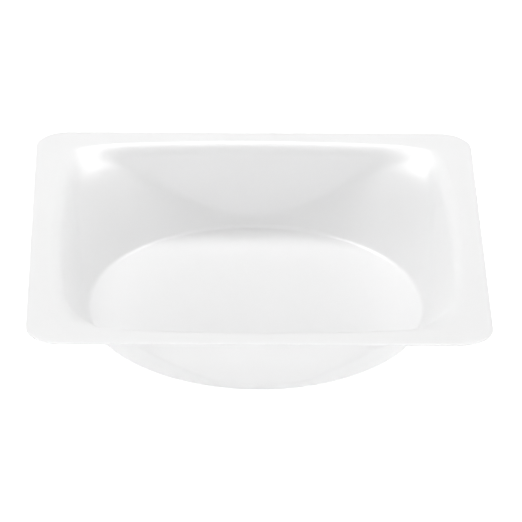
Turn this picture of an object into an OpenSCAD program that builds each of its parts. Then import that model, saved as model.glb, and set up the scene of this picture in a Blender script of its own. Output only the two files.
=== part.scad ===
// Square weighing boat, large: one thermoformed sheet of white polystyrene.
// A round bowl rises from a flat floor, four drafted walls cut it off square, and bowl
// and walls roll out into a flat rim with rounded corners.
// Millimetres, +Z up, origin at the centre of the underside of the floor.

/* [Rim] */
// Width of the square rim, over all
rim_w = 140; // [125:1:170]
// Radius of the rim's outer corners
rim_corner_r = 10.5; // [6:0.5:16]
// Width of the border, from the rim's edge to where the line of a wall meets the rim
border_w = 9; // [8:0.5:14]

/* [Depth] */
// Height over all, from the underside of the floor to the top of the rim
boat_h = 25.8; // [18:0.2:32]

/* [Sheet] */
// Thickness of the rim, which keeps the gauge of the flat sheet
rim_t = 0.5; // [0.3:0.05:0.8]
// Thickness of the floor, bowl and walls, which the forming draws thinner
drawn_t = 0.4; // [0.25:0.05:0.8]

/* [Walls] */
// Draft of each wall, from the vertical
wall_draft = 15.5; // [8:0.5:20]
// Radius of each wall's outward bow, seen from above
wall_bow_r = 450; // [300:10:900]
// Radius over which each wall rolls out into the rim
wall_roll_r = 4.5; // [2.5:0.5:6]

/* [Bowl] */
// Slope of the bowl's side, from the horizontal
bowl_slope = 49; // [44:1:54]
// Height above the floor at which the bowl meets the middle of each wall
bowl_meet_h = 2.7; // [2:0.1:6]
// Radius between the floor and the bowl's side
floor_fillet_r = 2; // [1:0.5:5]
// Radius over which the bowl rolls out into the rim at the corners
bowl_roll_r = 18; // [12:1:22]

/* [Creases] */
// Reach of the blend between bowl and wall, at the floor
crease_low = 0.8; // [0.4:0.1:2]
// Reach of the same blend at the rim
crease_high = 3; // [1:0.1:5]

/* [Smoothness] */
// Steps in half of a side, from its middle to the rim's corner
side_steps = 12; // [6:1:12]
// Steps in half of a corner of the rim
corner_steps = 5; // [3:1:6]
// Steps up the fillet of the floor
fillet_steps = 4; // [2:1:5]
// Steps across the crease between bowl and wall
crease_steps = 4; // [2:2:4]
// Steps over the roll into the rim
roll_steps = 9; // [6:1:10]

/* [Hidden] */

// A skin is one face of the sheet: [height of its floor, height of its rim, how far it
// lies outside the inner face of the bowl and walls].
INNER = [drawn_t, boat_h, 0];
OUTER = [0, boat_h - rim_t, drawn_t];

wall_slope = 90 - wall_draft;
wall_top_y = rim_w / 2 - border_w;
bow_axis_y = wall_top_y - wall_bow_r;
wall_foot_y = wall_top_y - boat_h / tan(wall_slope);
meet_z = drawn_t + bowl_meet_h;
bowl_foot_r = wall_foot_y + meet_z / tan(wall_slope) - meet_z / tan(bowl_slope);
fillet_h = floor_fillet_r * (1 - cos(bowl_slope));
roll_h = bowl_roll_r * (1 - cos(bowl_slope));
corner_c = rim_w / 2 - rim_corner_r;
corner_start = atan(corner_c / (rim_w / 2));

// Height of the band of points that follows the crease, and its least distance from the
// fillet and from the roll.
crease_band_h = 2.4;
band_gap = 0.1;

// Distance from the axis, at height z, of a straight side that would reach foot at height
// 0 and rolls out to the horizontal at rim_z.
function side_at(z, foot, slope, roll_r, rim_z) =
    let(roll_z = rim_z - roll_r * (1 - cos(slope)))
    z <= roll_z
        ? foot + z / tan(slope)
        : foot + rim_z / tan(slope) + roll_r * tan(slope / 2)
            - sqrt(max(0, pow(roll_r, 2) - pow(z - rim_z + roll_r, 2)));

// Radius of the bowl at height z: its fillet on the floor, its straight side, its roll.
function bowl_r(z, skin) =
    let(
        up = z - skin[0],
        fillet_r = floor_fillet_r + skin[2],
        foot = bowl_foot_r + skin[2] / sin(bowl_slope)
    )
    up < fillet_r * (1 - cos(bowl_slope))
        ? foot + skin[0] / tan(bowl_slope) - fillet_r * tan(bowl_slope / 2)
            + sqrt(max(0, pow(fillet_r, 2) - pow(fillet_r - up, 2)))
        : side_at(z, foot, bowl_slope, bowl_roll_r - skin[2], skin[1]);

// Distance of a wall from the boat's axis at height z, at azimuth a from its middle.
function wall_r(z, a, skin) =
    let(
        foot = wall_foot_y + skin[2] / sin(wall_slope),
        y = side_at(z, foot, wall_slope, wall_roll_r - skin[2], skin[1])
    )
    bow_axis_y * cos(a) + sqrt(pow(y - bow_axis_y, 2) - pow(bow_axis_y * sin(a), 2));

// The lesser of two distances, with a soft change from one to the other within reach.
function soft_min(p, q, reach) = min(p, q) - pow(max(reach - abs(p - q), 0), 2) / (4 * reach);

// Distance of the boat's side from the axis at height z and azimuth a.
function side_r(z, a, skin) =
    soft_min(
        bowl_r(z, skin),
        wall_r(z, a, skin),
        crease_low + (crease_high - crease_low) * pow(z / boat_h, 2)
    );

// Distance of the rim's edge from the axis, at azimuth a from the middle of a side.
function rim_r(a) =
    a <= corner_start
        ? rim_w / 2 / cos(a)
        : sqrt(2) * corner_c * cos(45 - a)
            + sqrt(pow(rim_corner_r, 2) - 2 * pow(corner_c * sin(45 - a), 2));

// Height at which bowl and wall cross at azimuth a, kept clear of the fillet and the roll.
function crease_z(a, skin) =
    let(
        low = skin[0] + fillet_h + band_gap + crease_band_h / 2,
        high = skin[1] - roll_h - band_gap - crease_band_h / 2,
        gap_low = wall_r(low, a, skin) - bowl_r(low, skin),
        gap_high = wall_r(high, a, skin) - bowl_r(high, skin)
    )
    low + (high - low) * max(0, min(1, gap_low / (gap_low - gap_high)));

// Heights of the points up one skin at azimuth a, closer together where it curves.
function levels(a, skin) = concat(
    [for (i = [0:fillet_steps]) skin[0] + fillet_h * pow(i / fillet_steps, 2)],
    [for (i = [0:crease_steps])
        crease_z(a, skin) + crease_band_h * (i / crease_steps - 1 / 2)],
    [for (i = [0:roll_steps]) skin[1] - roll_h * pow(1 - i / roll_steps, 2)]
);

// Azimuth within the nearest side of the boat, from its middle, 0 to 45 degrees.
function fold(a) = abs((a + 45) % 90 - 45);

function at(r, a, z) = [r * cos(a), r * sin(a), z];

// Points of one radial section: up the inner skin, over the rim's edge, down the outer skin.
function section(a) =
    let(
        f = fold(a),
        up = levels(f, INNER),
        down = levels(f, OUTER)
    )
    concat(
        [for (z = up) at(side_r(z, f, INNER), a, z)],
        [at(rim_r(f), a, INNER[1]), at(rim_r(f), a, OUTER[1])],
        [for (i = [len(down) - 1:-1:0]) at(side_r(down[i], f, OUTER), a, down[i])]
    );

// Azimuths of the sections in one quarter: even along the side, even around the corner.
function corner_azimuth(turn) =
    atan2(corner_c + rim_corner_r * sin(turn), corner_c + rim_corner_r * cos(turn));
eighth = concat(
    [for (i = [0:side_steps - 1]) atan2(corner_c * i / side_steps, rim_w / 2)],
    [for (i = [0:corner_steps - 1]) corner_azimuth(45 * i / corner_steps)]
);
quarter = concat(eighth, [45], [for (i = [len(eighth) - 1:-1:1]) 90 - eighth[i]]);
azimuths = [for (turn = [0:90:270], a = quarter) turn + a];

module boat() {
    sections = [for (a = azimuths) section(a)];
    rows = len(sections[0]);
    columns = len(sections);
    // Each patch between four points is split along the way the crease runs across it.
    sides = [
        for (i = [0:columns - 1], j = [0:rows - 2])
            let(
                here = i * rows + j,
                next = ((i + 1) % columns) * rows + j,
                crease_rises = azimuths[i] % 90 < 45,
                inside = j < rows / 2
            )
            each crease_rises == inside
                ? [[here, next + 1, here + 1], [here, next, next + 1]]
                : [[here, next, here + 1], [next, next + 1, here + 1]]
    ];
    floor_top = [for (i = [columns - 1:-1:0]) i * rows];
    floor_underside = [for (i = [0:columns - 1]) i * rows + rows - 1];
    color([0.95, 0.96, 0.97])
        polyhedron(
            points = [for (s = sections) each s],
            faces = concat(sides, [floor_top, floor_underside])
        );
}

boat();
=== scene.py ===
"""A large square weighing boat, thermoformed from one sheet of white polystyrene.

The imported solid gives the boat's width, height and place. This script stands a finer surface of
the same form in for it, finishes the plastic, and sets it on white paper under soft studio light.
Lengths are in metres and angles in radians, unless a name or comment says otherwise.
"""

import logging
import math
from dataclasses import dataclass, field
from enum import Enum

import bpy
import numpy as np
from mathutils import Matrix, Vector


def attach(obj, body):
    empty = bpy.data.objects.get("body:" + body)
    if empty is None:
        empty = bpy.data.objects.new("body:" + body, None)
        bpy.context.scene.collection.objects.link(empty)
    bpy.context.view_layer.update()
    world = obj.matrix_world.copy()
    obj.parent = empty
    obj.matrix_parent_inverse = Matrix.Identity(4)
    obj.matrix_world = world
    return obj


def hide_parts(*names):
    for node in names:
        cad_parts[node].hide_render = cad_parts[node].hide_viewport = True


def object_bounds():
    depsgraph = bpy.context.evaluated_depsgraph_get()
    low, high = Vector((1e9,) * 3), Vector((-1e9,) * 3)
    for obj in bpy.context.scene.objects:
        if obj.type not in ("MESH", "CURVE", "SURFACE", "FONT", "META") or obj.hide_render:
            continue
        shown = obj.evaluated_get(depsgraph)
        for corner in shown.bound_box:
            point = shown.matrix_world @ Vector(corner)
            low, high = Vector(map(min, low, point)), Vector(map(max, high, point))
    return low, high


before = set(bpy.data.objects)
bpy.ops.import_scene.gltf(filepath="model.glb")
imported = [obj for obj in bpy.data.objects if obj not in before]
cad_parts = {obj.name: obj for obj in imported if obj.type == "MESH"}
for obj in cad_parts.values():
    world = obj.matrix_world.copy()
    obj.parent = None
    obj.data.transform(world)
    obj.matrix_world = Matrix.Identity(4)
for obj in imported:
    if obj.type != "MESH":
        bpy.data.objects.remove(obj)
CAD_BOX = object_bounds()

logging.basicConfig(level=logging.INFO, format="%(name)s: %(message)s")
LOG = logging.getLogger("weighing_boat")

MM = 0.001
QUARTER = math.pi / 2
EIGHTH = math.pi / 4

RGBA = tuple[float, float, float, float]
# Distances from the boat's axis, and heights, both as rows by columns of points.
Rows = tuple[np.ndarray, np.ndarray]


def srgb_hex(code: str) -> RGBA:
    """Turn an sRGB colour into the linear RGBA that shaders take.

    A part is divided by 12.92 up to 0.04045. Above that, 0.055 is added to it, the sum is divided
    by 1.055 and raised to the power 2.4, as the sRGB standard says.

    Args:
        code: The colour as a hash and six hex digits, such as "#F2F3F5".

    Returns:
        Linear red, green and blue, and an alpha of 1.
    """
    parts = np.array([int(code[i : i + 2], 16) for i in (1, 3, 5)]) / 255
    linear = np.where(parts <= 0.04045, parts / 12.92, ((parts + 0.055) / 1.055) ** 2.4)
    return (*linear.tolist(), 1.0)


def add_node(
    tree: bpy.types.NodeTree,
    kind: str,
    settings: dict[str, object] | None = None,
    **links: object,
) -> bpy.types.Node:
    """Add one node to a tree, with its settings, socket values and incoming links.

    Args:
        tree: The node tree that gets the node.
        kind: Blender's name for the node's type.
        settings: Attributes to set on the node itself.
        **links: Input sockets by name, with underscores for spaces, or by their place as _0 and
            _1 where two share a name. Each is a plain value or the output socket to link.

    Returns:
        The new node.
    """
    node = tree.nodes.new(kind)
    for name, value in (settings or {}).items():
        setattr(node, name, value)
    for name, value in links.items():
        by_place = name[1:].isdigit()
        socket = node.inputs[int(name[1:]) if by_place else name.replace("_", " ")]
        if isinstance(value, bpy.types.NodeSocket):
            tree.links.new(value, socket)
        else:
            socket.default_value = value
    return node


def node_tree(owner: bpy.types.Material | bpy.types.World) -> bpy.types.NodeTree:
    """Switch a material or world to nodes, and empty its tree.

    Args:
        owner: The material or world.

    Returns:
        The empty tree.
    """
    owner.use_nodes = True
    owner.node_tree.nodes.clear()
    return owner.node_tree


def seen_white(tree: bpy.types.NodeTree) -> bpy.types.NodeSocket:
    """Tell the rays that show a surface from those that it lights other things with.

    The result is the greatest of Light Path's camera, glossy and transmission rays: 1 for a ray
    that looks straight at the surface, or sees it mirrored or through something, and 0 otherwise.

    Args:
        tree: The node tree that reads the result.

    Returns:
        The output socket that holds it.
    """
    path = add_node(tree, "ShaderNodeLightPath").outputs
    greatest = {"operation": "MAXIMUM"}
    indirect = add_node(
        tree,
        "ShaderNodeMath",
        greatest,
        _0=path["Is Glossy Ray"],
        _1=path["Is Transmission Ray"],
    )
    seen = add_node(
        tree,
        "ShaderNodeMath",
        greatest,
        _0=path["Is Camera Ray"],
        _1=indirect.outputs[0],
    )
    return seen.outputs[0]


@dataclass(frozen=True)
class Polystyrene:
    """White high-impact polystyrene sheet, thermoformed over a satin mould.

    To the eye it is an even white with a soft sheen. The sheet is thin enough for some light to
    wander through it, by a free path of a fraction of a millimetre, which lifts the walls where
    their outer face is lit. Forming leaves the surface a little uneven, in long shallow waves
    that break up reflections. The mould's satin finish leaves a fine grain, which keeps the
    plastic short of glossy.

    The real grain is a few hundredths of a millimetre across, too fine to show. It is drawn
    coarser than that, at 0.6 mm, so that it just shows.
    """

    colour: str = "#F6F6F7"
    ior: float = 1.59
    free_path: float = 0.15 * MM
    roughness: float = 0.3
    wave_length: float = 22 * MM
    wave_depth: float = 0.03 * MM
    wave_detail: float = 1.0
    grain_size: float = 0.6 * MM
    grain_depth: float = 0.0015 * MM
    grain_detail: float = 2.0

    def material(self) -> bpy.types.Material:
        """Build the plastic's material on Object coordinates.

        The normal is turned by the slope of two noises, the waves and then the grain. Each has
        a scale of one over its size, and a height of its depth.

        Returns:
            The material.
        """
        material = bpy.data.materials.new("polystyrene_white")
        tree = node_tree(material)
        place = add_node(tree, "ShaderNodeTexCoord").outputs["Object"]
        waves = add_node(
            tree,
            "ShaderNodeTexNoise",
            Vector=place,
            Scale=1 / self.wave_length,
            Detail=self.wave_detail,
        )
        grain = add_node(
            tree,
            "ShaderNodeTexNoise",
            Vector=place,
            Scale=1 / self.grain_size,
            Detail=self.grain_detail,
        )
        broad = add_node(
            tree,
            "ShaderNodeBump",
            Height=waves.outputs["Fac"],
            Strength=1.0,
            Distance=self.wave_depth,
        )
        fine = add_node(
            tree,
            "ShaderNodeBump",
            Height=grain.outputs["Fac"],
            Strength=1.0,
            Distance=self.grain_depth,
            Normal=broad.outputs["Normal"],
        )
        surface = add_node(
            tree,
            "ShaderNodeBsdfPrincipled",
            Base_Color=srgb_hex(self.colour),
            IOR=self.ior,
            Roughness=self.roughness,
            Subsurface_Weight=1.0,
            Subsurface_Radius=(1.0, 1.0, 1.0),
            Subsurface_Scale=self.free_path,
            Normal=fine.outputs["Normal"],
        )
        add_node(tree, "ShaderNodeOutputMaterial", Surface=surface.outputs["BSDF"])
        return material


@dataclass(frozen=True)
class Skin:
    """One face of the sheet.

    floor_z and rim_z are the heights of its floor and rim, and offset is how far it lies outside
    the inner face of the bowl and walls.
    """

    floor_z: float
    rim_z: float
    offset: float


@dataclass(frozen=True)
class RolledSide:
    """A side that slopes up in a straight line and rolls out to the horizontal at the rim.

    foot is where the straight line meets height 0, as a distance from the axis, and slope is its
    angle from the horizontal.
    """

    foot: float
    slope: float
    roll_r: float
    rim_z: float

    def at(self, z: np.ndarray) -> np.ndarray:
        """Work out how far the side is from the axis.

        The straight line is the foot plus the height over the tangent of the slope. It ends
        below the rim by the roll radius times (1 minus the cosine of the slope). Above that, an
        arc tangent to the line and to the rim takes its place: the distance of its centre minus
        the square root of (the roll radius squared minus the rise above the centre squared).

        Args:
            z: Heights.

        Returns:
            The distances, shaped as z.
        """
        straight = self.foot + z / math.tan(self.slope)
        line_at_rim = self.foot + self.rim_z / math.tan(self.slope)
        centre = line_at_rim + self.roll_r * math.tan(self.slope / 2)
        rise = z - self.rim_z + self.roll_r
        arc = centre - np.sqrt(np.maximum(self.roll_r**2 - rise**2, 0))
        roll_h = self.roll_r * (1 - math.cos(self.slope))
        return np.where(z <= self.rim_z - roll_h, straight, arc)


@dataclass
class WeighingBoat:
    """The boat as one closed surface: a bowl of revolution, four drafted walls and a flat rim.

    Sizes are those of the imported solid's source, but for four that make the same form finer:
    bowl_roll_r and crease_high are larger, crease_growth softens the crease later, and edge_round
    rounds the rim's trimmed edge. The counts say how many columns the grid has in all, and how
    many rows each part of it gets. column_spread and floor_start say how they are spaced.
    """

    width: float
    height: float
    rim_corner_r: float = 10.5 * MM
    border: float = 9 * MM
    rim_t: float = 0.5 * MM
    drawn_t: float = 0.4 * MM
    wall_draft: float = math.radians(15.5)
    wall_bow_r: float = 450 * MM
    wall_roll_r: float = 4.5 * MM
    bowl_slope: float = math.radians(49)
    bowl_meet_h: float = 2.7 * MM
    floor_fillet_r: float = 2 * MM
    bowl_roll_r: float = 20 * MM
    crease_low: float = 0.8 * MM
    crease_high: float = 6 * MM
    crease_growth: float = 4.0
    edge_round: float = 0.18 * MM
    columns: int = 480
    column_spread: float = 0.92
    floor_rows: int = 8
    floor_start: float = 0.08
    fillet_rows: int = 9
    side_rows: int = 32
    roll_rows: int = 26
    rim_rows: int = 7
    edge_rows: int = 4
    finish: Polystyrene = field(default_factory=Polystyrene)

    def __post_init__(self) -> None:
        """Work out the lines that both skins share, each from where it meets the next."""
        self.inner = Skin(self.drawn_t, self.height, 0.0)
        self.outer = Skin(0.0, self.height - self.rim_t, self.drawn_t)
        self.wall_slope = QUARTER - self.wall_draft
        wall_top = self.width / 2 - self.border
        self.bow_axis = wall_top - self.wall_bow_r
        self.wall_foot = wall_top - self.height / math.tan(self.wall_slope)
        meet_z = self.drawn_t + self.bowl_meet_h
        meet_r = self.wall_foot + meet_z / math.tan(self.wall_slope)
        self.bowl_foot = meet_r - meet_z / math.tan(self.bowl_slope)

    def bowl_radius(self, z: np.ndarray, skin: Skin) -> np.ndarray:
        """Work out the radius of the bowl.

        It is a fillet on the floor, then the rolled side. The fillet is an arc tangent to both:
        the distance of its centre plus the square root of (the fillet radius squared minus the
        depth below the centre squared).

        Args:
            z: Heights.
            skin: The face of the sheet.

        Returns:
            The radii, shaped as z.
        """
        fillet_r = self.floor_fillet_r + skin.offset
        foot = self.bowl_foot + skin.offset / math.sin(self.bowl_slope)
        side = RolledSide(foot, self.bowl_slope, self.bowl_roll_r - skin.offset, skin.rim_z)
        up = z - skin.floor_z
        line_at_floor = foot + skin.floor_z / math.tan(self.bowl_slope)
        centre = line_at_floor - fillet_r * math.tan(self.bowl_slope / 2)
        fillet = centre + np.sqrt(np.maximum(fillet_r**2 - (fillet_r - up) ** 2, 0))
        fillet_h = fillet_r * (1 - math.cos(self.bowl_slope))
        return np.where(up < fillet_h, fillet, side.at(z))

    def wall_radius(self, z: np.ndarray, azimuth: np.ndarray, skin: Skin) -> np.ndarray:
        """Work out the distance from the boat's axis to a wall.

        Seen from above a wall is an arc about a far axis, and this is where a ray from the boat's
        axis meets it. It is the place of the far axis times the cosine of the azimuth, plus the
        square root of (the arc's radius squared minus the square of (the place of the far axis
        times the sine of the azimuth)).

        Args:
            z: Heights.
            azimuth: Angles from the middle of the wall, at most 45 degrees.
            skin: The face of the sheet.

        Returns:
            The distances, shaped as z and azimuth broadcast.
        """
        foot = self.wall_foot + skin.offset / math.sin(self.wall_slope)
        side = RolledSide(foot, self.wall_slope, self.wall_roll_r - skin.offset, skin.rim_z)
        bow = side.at(z) - self.bow_axis
        across = self.bow_axis * np.sin(azimuth)
        return self.bow_axis * np.cos(azimuth) + np.sqrt(bow**2 - across**2)

    def side_radius(self, z: np.ndarray, azimuth: np.ndarray, skin: Skin) -> np.ndarray:
        """Work out the distance from the axis to the boat's side.

        It is the lesser of bowl and wall, with a soft change between them. Where they differ by
        less than the reach, the square of (the reach minus their difference) over 4 times the
        reach is taken off, which rounds the crease. The reach grows from crease_low to
        crease_high with a power of the height, so the crease stays narrow for most of its length
        and fades out at the rim.

        Args:
            z: Heights.
            azimuth: Angles from the middle of the nearest wall.
            skin: The face of the sheet.

        Returns:
            The distances, shaped as z and azimuth broadcast.
        """
        bowl = self.bowl_radius(z, skin)
        wall = self.wall_radius(z, azimuth, skin)
        rise = (z / self.height) ** self.crease_growth
        reach = self.crease_low + (self.crease_high - self.crease_low) * rise
        softened = np.maximum(reach - np.abs(bowl - wall), 0) ** 2 / (4 * reach)
        return np.minimum(bowl, wall) - softened

    def rim_radius(self, azimuth: np.ndarray, inset: float | np.ndarray) -> np.ndarray:
        """Work out the distance from the axis to the rim's edge.

        Along a straight side it is half the width over the cosine of the azimuth. Round a corner
        it is where the ray meets an arc. With lean the angle from the ray to the corner's middle,
        it is the distance of the arc's centre times the cosine of lean, plus the square root of
        (the arc's radius squared minus the square of (that distance times the sine of lean)).

        Args:
            azimuth: Angles from the middle of the nearest side.
            inset: How far the edge is moved in, the same for all angles or one for each row.

        Returns:
            The distances, shaped as azimuth and inset broadcast.
        """
        half = self.width / 2 - inset
        corner_r = self.rim_corner_r - inset
        centre = half - corner_r
        lean = EIGHTH - azimuth
        along = math.sqrt(2) * centre * np.cos(lean)
        corner = along + np.sqrt(np.maximum(corner_r**2 - 2 * (centre * np.sin(lean)) ** 2, 0))
        return np.where(azimuth <= np.arctan2(centre, half), half / np.cos(azimuth), corner)

    def levels(self, skin: Skin) -> np.ndarray:
        """Choose the heights of the rows up one skin, from the floor's edge to the rim.

        They are even up the straight side. In the fillet and the roll they go with the square of
        an even count, which puts them closer together towards the floor and the rim.

        Args:
            skin: The face of the sheet.

        Returns:
            The heights.
        """
        fillet_h = self.floor_fillet_r * (1 - math.cos(self.bowl_slope))
        roll_h = self.bowl_roll_r * (1 - math.cos(self.bowl_slope))
        side_low, side_high = skin.floor_z + fillet_h, skin.rim_z - roll_h
        fillet = skin.floor_z + fillet_h * np.linspace(0, 1, self.fillet_rows) ** 2
        side = np.linspace(side_low, side_high, self.side_rows + 2)[1:-1]
        roll = skin.rim_z - roll_h * np.linspace(1, 0, self.roll_rows) ** 2
        return np.concatenate([fillet, side, roll])

    def skin_surface(self, azimuth: np.ndarray, skin: Skin) -> Rows:
        """Lay out one skin, from the floor's middle to the rim's edge.

        The floor's rows are even shares of the radius of its edge, from floor_start up. The rim's
        rows are even steps from where the side ends to its edge.

        Args:
            azimuth: Angle of each column from the middle of its nearest side.
            skin: The face of the sheet.

        Returns:
            Distances from the axis, and heights, both as rows by columns.
        """
        levels = self.levels(skin)
        z = np.broadcast_to(levels[:, None], (len(levels), len(azimuth)))
        r = self.side_radius(z, azimuth[None, :], skin)
        shares = np.linspace(self.floor_start, 1, self.floor_rows + 1)[:-1, None]
        floor = shares * r[0]
        across = np.linspace(0, 1, self.rim_rows + 1)[1:, None]
        rim = r[-1] + (self.rim_radius(azimuth, self.edge_round) - r[-1]) * across
        heights = [np.full_like(floor, skin.floor_z), z, np.full_like(rim, skin.rim_z)]
        return np.concatenate([floor, r, rim]), np.concatenate(heights)

    def edge_surface(self, azimuth: np.ndarray) -> Rows:
        """Lay out the trimmed edge: a quarter arc down, a short flat and a quarter arc back in.

        At each turn of an arc the drop is its radius times (1 minus the cosine of the turn), and
        the inset is its radius times (1 minus the sine of the turn).

        Args:
            azimuth: Angle of each column from the middle of its nearest side.

        Returns:
            Distances from the axis, and heights, both as rows by columns.
        """
        turn = np.linspace(0, QUARTER, self.edge_rows + 1)[1:]
        drop = self.edge_round * (1 - np.cos(turn))
        inset = self.edge_round * (1 - np.sin(turn))
        lower = self.height - self.rim_t + drop
        z = np.concatenate([self.height - drop, lower[::-1]])
        r = self.rim_radius(azimuth[None, :], np.concatenate([inset, inset[::-1]])[:, None])
        return r, np.broadcast_to(z[:, None], r.shape)

    def turns(self) -> np.ndarray:
        """Choose the angles of the columns, once round the boat.

        Within an eighth of the way round, a column's angle goes with a power of its count. The
        power is a little under 1, so the columns are closer together towards the corner.

        Returns:
            The angles, anticlockwise from the middle of the side at +X.
        """
        spread = np.linspace(0, 1, self.columns // 8 + 1)[:-1]
        eighth = EIGHTH * spread**self.column_spread
        quarter = np.concatenate([eighth, [EIGHTH], QUARTER - eighth[:0:-1]])
        return np.concatenate([quarter + QUARTER * i for i in range(4)])

    def mesh(self) -> bpy.types.Mesh:
        """Make the closed mesh.

        The columns are sections through the axis. The rows run from the middle of the floor up
        the inner skin, over the edge and down the outer skin, and a fan of triangles closes each
        end. Each turn is folded to the angle from the middle of its nearest side, which gives the
        distance from the axis. A point is that distance times the cosine of the turn, the same
        times its sine, and the height.

        Returns:
            The mesh, its faces pointing outwards and smooth.
        """
        turn = self.turns()
        fold = np.abs((turn + EIGHTH) % QUARTER - EIGHTH)
        inside, edge = self.skin_surface(fold, self.inner), self.edge_surface(fold)
        outside = self.skin_surface(fold, self.outer)
        r, z = (np.concatenate([a, b, c[::-1]]) for a, b, c in zip(inside, edge, outside))
        points = np.stack([r * np.cos(turn), r * np.sin(turn), z], axis=-1).reshape(-1, 3)
        poles = np.array([[0, 0, self.inner.floor_z], [0, 0, self.outer.floor_z]])
        count, width = r.shape
        here = np.arange(count * width).reshape(count, width)
        right = np.roll(here, -1, axis=1)
        corners = [here[:-1], here[1:], right[1:], right[:-1]]
        quads = np.stack(corners, axis=-1).reshape(-1, 4)
        top, under = count * width, count * width + 1
        fans = [
            np.stack([np.full(width, top), here[0], right[0]], axis=-1),
            np.stack([np.full(width, under), right[-1], here[-1]], axis=-1),
        ]
        faces = quads.tolist() + np.concatenate(fans).tolist()
        mesh = bpy.data.meshes.new("boat_sheet")
        mesh.from_pydata(np.concatenate([points, poles]).tolist(), [], faces)
        mesh.shade_smooth()
        mesh.validate()
        return mesh

    def build(self) -> bpy.types.Object:
        """Make the boat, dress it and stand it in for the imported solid.

        Returns:
            The boat.
        """
        piece = bpy.data.objects.new("boat_sheet", self.mesh())
        bpy.context.scene.collection.objects.link(piece)
        piece.data.materials.append(self.finish.material())
        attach(piece, "root")
        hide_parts("boat")
        size = len(piece.data.vertices), len(piece.data.polygons)
        LOG.info("boat_sheet: %d vertices, %d faces", *size)
        return piece


@dataclass(frozen=True)
class SweepPaper:
    """Uncoated white paper on a long roll.

    To the eye it is matt, without a horizon, and it takes the boat's soft shadow. A little glow
    keeps it near white where it is seen. Between shadow_reach and white_reach from the boat's
    axis it fades to the plain white of the world.
    """

    colour: str = "#F9F9F9"
    glow: float = 0.6
    shadow_reach: float = 0.16
    white_reach: float = 0.42

    def material(self) -> bpy.types.Material:
        """Build the paper's material on Object coordinates.

        Near the boat it is a diffuse surface plus the glow, and far from it plain white. The
        share of white rises smoothly with the distance from the origin, for the rays that see the
        paper only.

        Returns:
            The material.
        """
        material = bpy.data.materials.new("sweep_paper")
        tree = node_tree(material)
        seen = seen_white(tree)
        paper = add_node(tree, "ShaderNodeBsdfDiffuse", Color=srgb_hex(self.colour))
        lift = add_node(tree, "ShaderNodeMapRange", Value=seen, To_Max=self.glow)
        glow = add_node(tree, "ShaderNodeEmission", Strength=lift.outputs["Result"])
        near = add_node(
            tree,
            "ShaderNodeAddShader",
            _0=paper.outputs["BSDF"],
            _1=glow.outputs["Emission"],
        )
        far = add_node(tree, "ShaderNodeEmission", Strength=1.0)
        place = add_node(tree, "ShaderNodeTexCoord").outputs["Object"]
        away = add_node(tree, "ShaderNodeVectorMath", {"operation": "LENGTH"}, Vector=place)
        fade = add_node(
            tree,
            "ShaderNodeMapRange",
            {"interpolation_type": "SMOOTHSTEP"},
            Value=away.outputs["Value"],
            From_Min=self.shadow_reach,
            From_Max=self.white_reach,
            To_Max=seen,
        )
        surface = add_node(
            tree,
            "ShaderNodeMixShader",
            Fac=fade.outputs["Result"],
            _1=near.outputs["Shader"],
            _2=far.outputs["Emission"],
        )
        add_node(tree, "ShaderNodeOutputMaterial", Surface=surface.outputs["Shader"])
        return material


@dataclass(frozen=True)
class Sweep:
    """White paper floor, and a world that looks as white as it.

    The paper lies a hair, drop, below the boat's underside, so that the two faces don't fall in
    one plane. sky is the strength of the light that the world itself gives to the boat.
    """

    half_width: float = 3.0
    drop: float = 0.05 * MM
    white: str = "#FFFFFF"
    sky: float = 0.01
    paper: SweepPaper = field(default_factory=SweepPaper)

    def surroundings(self) -> bpy.types.World:
        """Make the world: plain white to the rays that see it, and almost dark to the others.

        Returns:
            The world, set as the scene's own.
        """
        world = bpy.data.worlds.new("studio_white")
        bpy.context.scene.world = world
        tree = node_tree(world)
        seen = seen_white(tree)
        level = add_node(tree, "ShaderNodeMapRange", Value=seen, To_Min=self.sky, To_Max=1.0)
        sky = add_node(
            tree,
            "ShaderNodeBackground",
            Color=srgb_hex(self.white),
            Strength=level.outputs["Result"],
        )
        add_node(tree, "ShaderNodeOutputWorld", Surface=sky.outputs["Background"])
        return world

    def build(self) -> bpy.types.Object:
        """Light the world and lay the paper under the boat, as one flat square.

        Returns:
            The floor.
        """
        self.surroundings()
        half = self.half_width
        signs = ((-1, -1), (1, -1), (1, 1), (-1, 1))
        corners = [(x * half, y * half, -self.drop) for x, y in signs]
        mesh = bpy.data.meshes.new("sweep_floor")
        mesh.from_pydata(corners, [], [(0, 1, 2, 3)])
        mesh.materials.append(self.paper.material())
        floor = bpy.data.objects.new("sweep_floor", mesh)
        bpy.context.scene.collection.objects.link(floor)
        LOG.info("sweep_floor: %.1f m square", 2 * half)
        return floor


class Side(Enum):
    """Where a lamp hangs, as two angles in degrees: azimuth and elevation.

    The azimuth is clockwise, as seen from above, from straight behind the boat.
    """

    BACK = (0, 51)
    BACK_LEFT = (-44, 51)
    BACK_RIGHT = (50, 53)
    HIGH_BACK = (0, 63)
    TOP = (0, 77)
    LEFT = (-75, 10)
    RIGHT = (75, 10)
    LOW_FRONT = (180, 5)
    LOW_FRONT_RIGHT = (150, 8)
    FRONT_LEFT = (-145, 22)
    FRONT_RIGHT = (145, 22)


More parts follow.
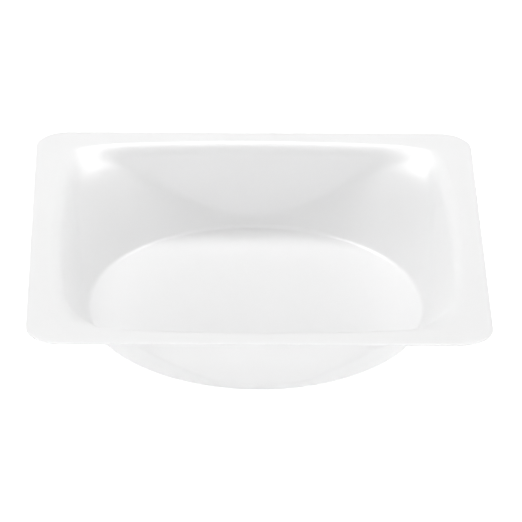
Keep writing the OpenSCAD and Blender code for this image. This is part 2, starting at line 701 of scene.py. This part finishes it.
@dataclass(frozen=True)
class Softbox:
    """An area lamp that faces the boat from one side.

    A lamp that isn't mirrored lights the boat without showing in its sheen, as light that comes
    back off pale walls does. The ones behind and above are mirrored, and give the bright roll at
    the far rim and corners.
    """

    side: Side
    watts: float
    width: float = 0.55
    height: float = 0.26
    distance: float = 1.2
    mirrored: bool = True

    def build(self) -> bpy.types.Object:
        """Hang the lamp and turn it to the boat.

        Its direction has as x and y the sine and cosine of the azimuth, each times the cosine of
        the elevation, and as z the sine of the elevation.

        Returns:
            The lamp.
        """
        name = f"softbox_{self.side.name.lower()}"
        lamp = bpy.data.lights.new(name, "AREA")
        lamp.shape = "RECTANGLE"
        lamp.energy, lamp.size, lamp.size_y = self.watts, self.width, self.height
        azimuth, elevation = (math.radians(angle) for angle in self.side.value)
        level = math.cos(elevation)
        flat = math.sin(azimuth) * level, math.cos(azimuth) * level
        direction = Vector((*flat, math.sin(elevation)))
        piece = bpy.data.objects.new(name, lamp)
        piece.location = direction * self.distance
        piece.rotation_mode = "QUATERNION"
        piece.rotation_quaternion = direction.to_track_quat("Z", "Y")
        piece.visible_camera = False
        piece.visible_glossy = self.mirrored
        bpy.context.scene.collection.objects.link(piece)
        LOG.info("%s: %.1f W", name, self.watts)
        return piece


LAMPS: tuple[Softbox, ...] = (
    # Far lamps: the bright roll along the far rim, and the highlights in its corners.
    Softbox(Side.BACK, watts=3.2),
    Softbox(Side.BACK_LEFT, watts=3.2, width=0.6, height=0.28),
    Softbox(Side.BACK_RIGHT, watts=2.2, width=0.55, height=0.28),
    # Lamps above: the floor of the boat, and the rim from its far side to its near side.
    Softbox(Side.HIGH_BACK, watts=0.2, width=0.45, height=0.2, distance=0.6),
    Softbox(Side.TOP, watts=2.6, width=0.9, height=0.4),
    # Low lamps on both sides: the walls, from inside and through the sheet.
    Softbox(Side.LEFT, watts=3.7, width=0.8, height=0.3, mirrored=False),
    Softbox(Side.RIGHT, watts=3.5, width=0.8, height=0.3, mirrored=False),
    # Near lamps: the outside of the near wall, and the far wall.
    Softbox(Side.LOW_FRONT, watts=1.6, width=1.2, height=0.2, mirrored=False),
    Softbox(Side.LOW_FRONT_RIGHT, watts=2.3, width=0.5, height=0.5, mirrored=False),
    Softbox(Side.FRONT_LEFT, watts=4.0, width=0.8, height=0.4, mirrored=False),
    Softbox(Side.FRONT_RIGHT, watts=2.5, width=0.8, height=0.4, mirrored=False),
)


@dataclass(frozen=True)
class Viewpoint:
    """A long lens from in front of the boat and above it.

    across and up say how far the lens's axis passes from the boat's origin, in the picture's own
    directions. focal_share is the focal length over the sensor's width, which is in millimetres.
    """

    azimuth: float = math.radians(1.3)
    elevation: float = math.radians(28.248)
    roll: float = math.radians(0.846)
    distance: float = 1458.63 * MM
    across: float = 1.665 * MM
    up: float = 14.29 * MM
    sensor_width: float = 36.0
    focal_share: float = 4660 / 522

    def build(self) -> bpy.types.Object:
        """Place the camera and make it the scene's own.

        Its axis points along the azimuth and down by the elevation. The picture's right and up
        are the level right and the up that goes with it, turned about the axis by the roll.

        Returns:
            The camera.
        """
        level = math.cos(self.elevation)
        flat = math.sin(self.azimuth) * level, math.cos(self.azimuth) * level
        ahead = Vector((*flat, -math.sin(self.elevation)))
        flat_right = ahead.cross(Vector((0, 0, 1))).normalized()
        flat_up = flat_right.cross(ahead)
        right = flat_right * math.cos(self.roll) + flat_up * math.sin(self.roll)
        above = flat_up * math.cos(self.roll) - flat_right * math.sin(self.roll)
        lens = bpy.data.cameras.new("viewpoint")
        lens.sensor_width = self.sensor_width
        lens.lens = self.sensor_width * self.focal_share
        camera = bpy.data.objects.new("viewpoint", lens)
        bpy.context.scene.collection.objects.link(camera)
        place = right * self.across + above * self.up - ahead * self.distance
        turn = Matrix((right, above, -ahead)).transposed().to_4x4()
        camera.matrix_world = Matrix.Translation(place) @ turn
        bpy.context.scene.camera = camera
        LOG.info("viewpoint: lens %.0f mm", lens.lens)
        return camera


def main() -> None:
    """Build the boat, the sweep, the lamps and the camera."""
    low, high = CAD_BOX
    WeighingBoat(width=high.x - low.x, height=high.z - low.z).build()
    Sweep().build()
    for lamp in LAMPS:
        lamp.build()
    Viewpoint().build()
    bpy.context.scene.view_settings.view_transform = "Standard"


if __name__ == "__main__":
    main()
